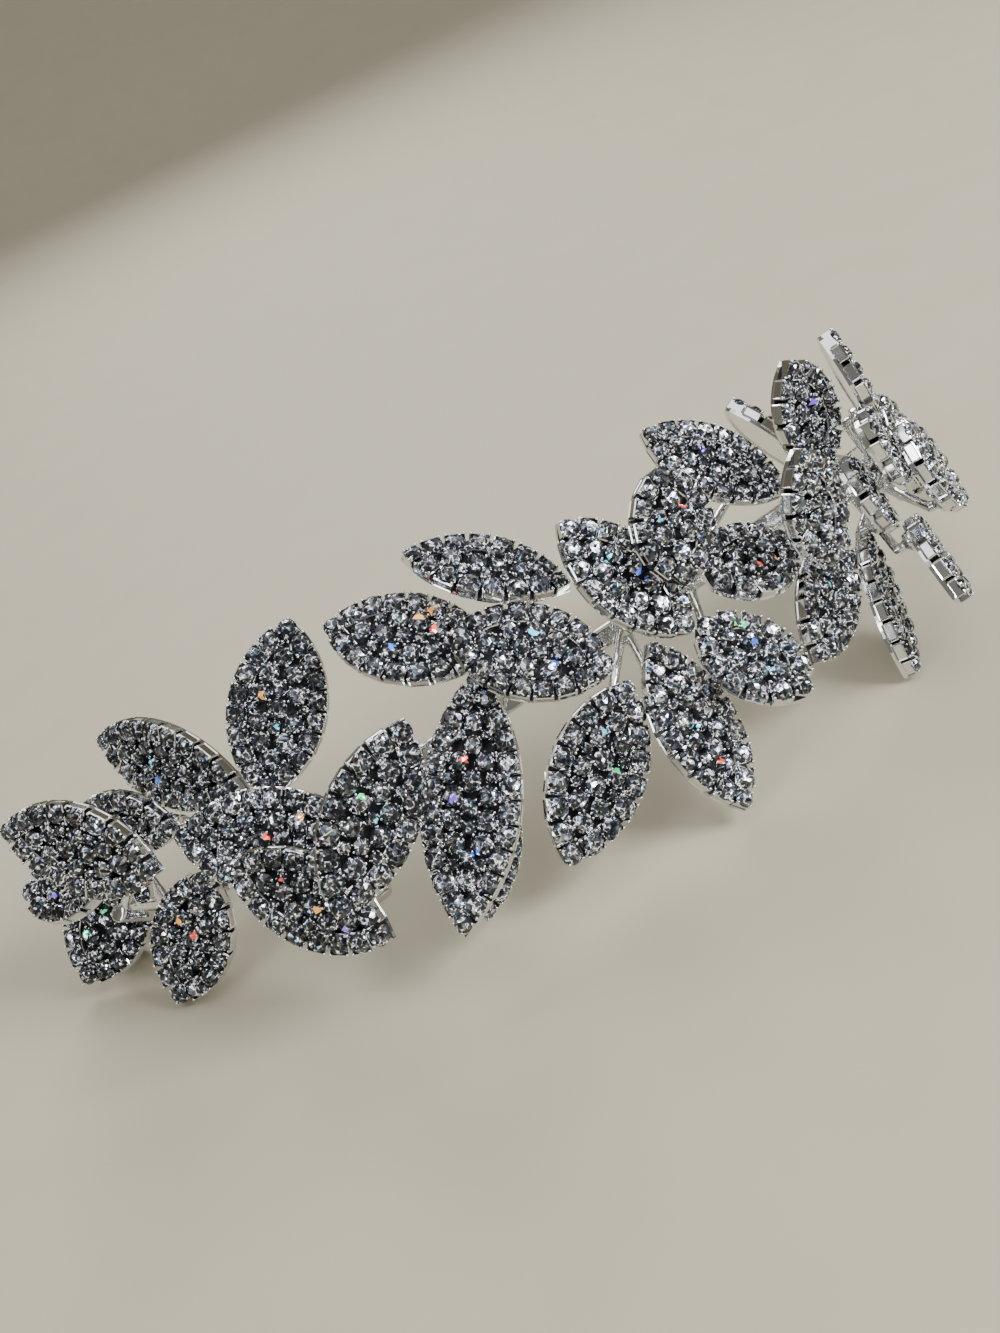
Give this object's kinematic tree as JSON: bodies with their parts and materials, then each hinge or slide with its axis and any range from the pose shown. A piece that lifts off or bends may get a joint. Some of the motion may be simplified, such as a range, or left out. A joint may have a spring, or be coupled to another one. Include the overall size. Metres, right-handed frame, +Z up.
{
  "type": "leaf diadem",
  "caption": "Silver-coloured arched diadem: a curved band with soldered wires that carry overlapping marquise leaves, each paved with cut stones.",
  "frame": {"origin": "middle of the bounding box at its bottom, where the diadem stands on a floor", "axes": "+Z up, the paved front towards -Y, the wearer's head towards +Y, +X to the right as seen from the front"},
  "size_m": [0.1362, 0.0526, 0.0374],
  "materials": {
    "silver": "polished silver or rhodium plate",
    "pave": "clear cut stones in a polished silver setting, opaque where fused into one solid"
  },
  "bodies": {
    "root": {"carrier": "silver", "leaf_a1": "pave", "leaf_a2": "pave", "leaf_a3": "pave", "leaf_a4": "pave", "leaf_a5": "pave", "leaf_a6": "pave", "leaf_a7": "pave", "leaf_a8": "pave", "leaf_a9": "pave", "leaf_a10": "pave", "leaf_b1": "pave", "leaf_b2": "pave", "leaf_b3": "pave", "leaf_b4": "pave", "leaf_b5": "pave", "leaf_c1": "pave", "leaf_c2": "pave", "leaf_c3": "pave", "leaf_c4": "pave", "leaf_c5": "pave", "leaf_c6": "pave", "leaf_c7": "pave", "leaf_d1": "pave", "leaf_d2": "pave", "leaf_d3": "pave", "leaf_d4": "pave", "leaf_d5": "pave", "leaf_d6": "pave", "leaf_d7": "pave", "leaf_d8": "pave", "leaf_d9": "pave", "leaf_d10": "pave", "leaf_d11": "pave"}
  },
  "joints": []
}
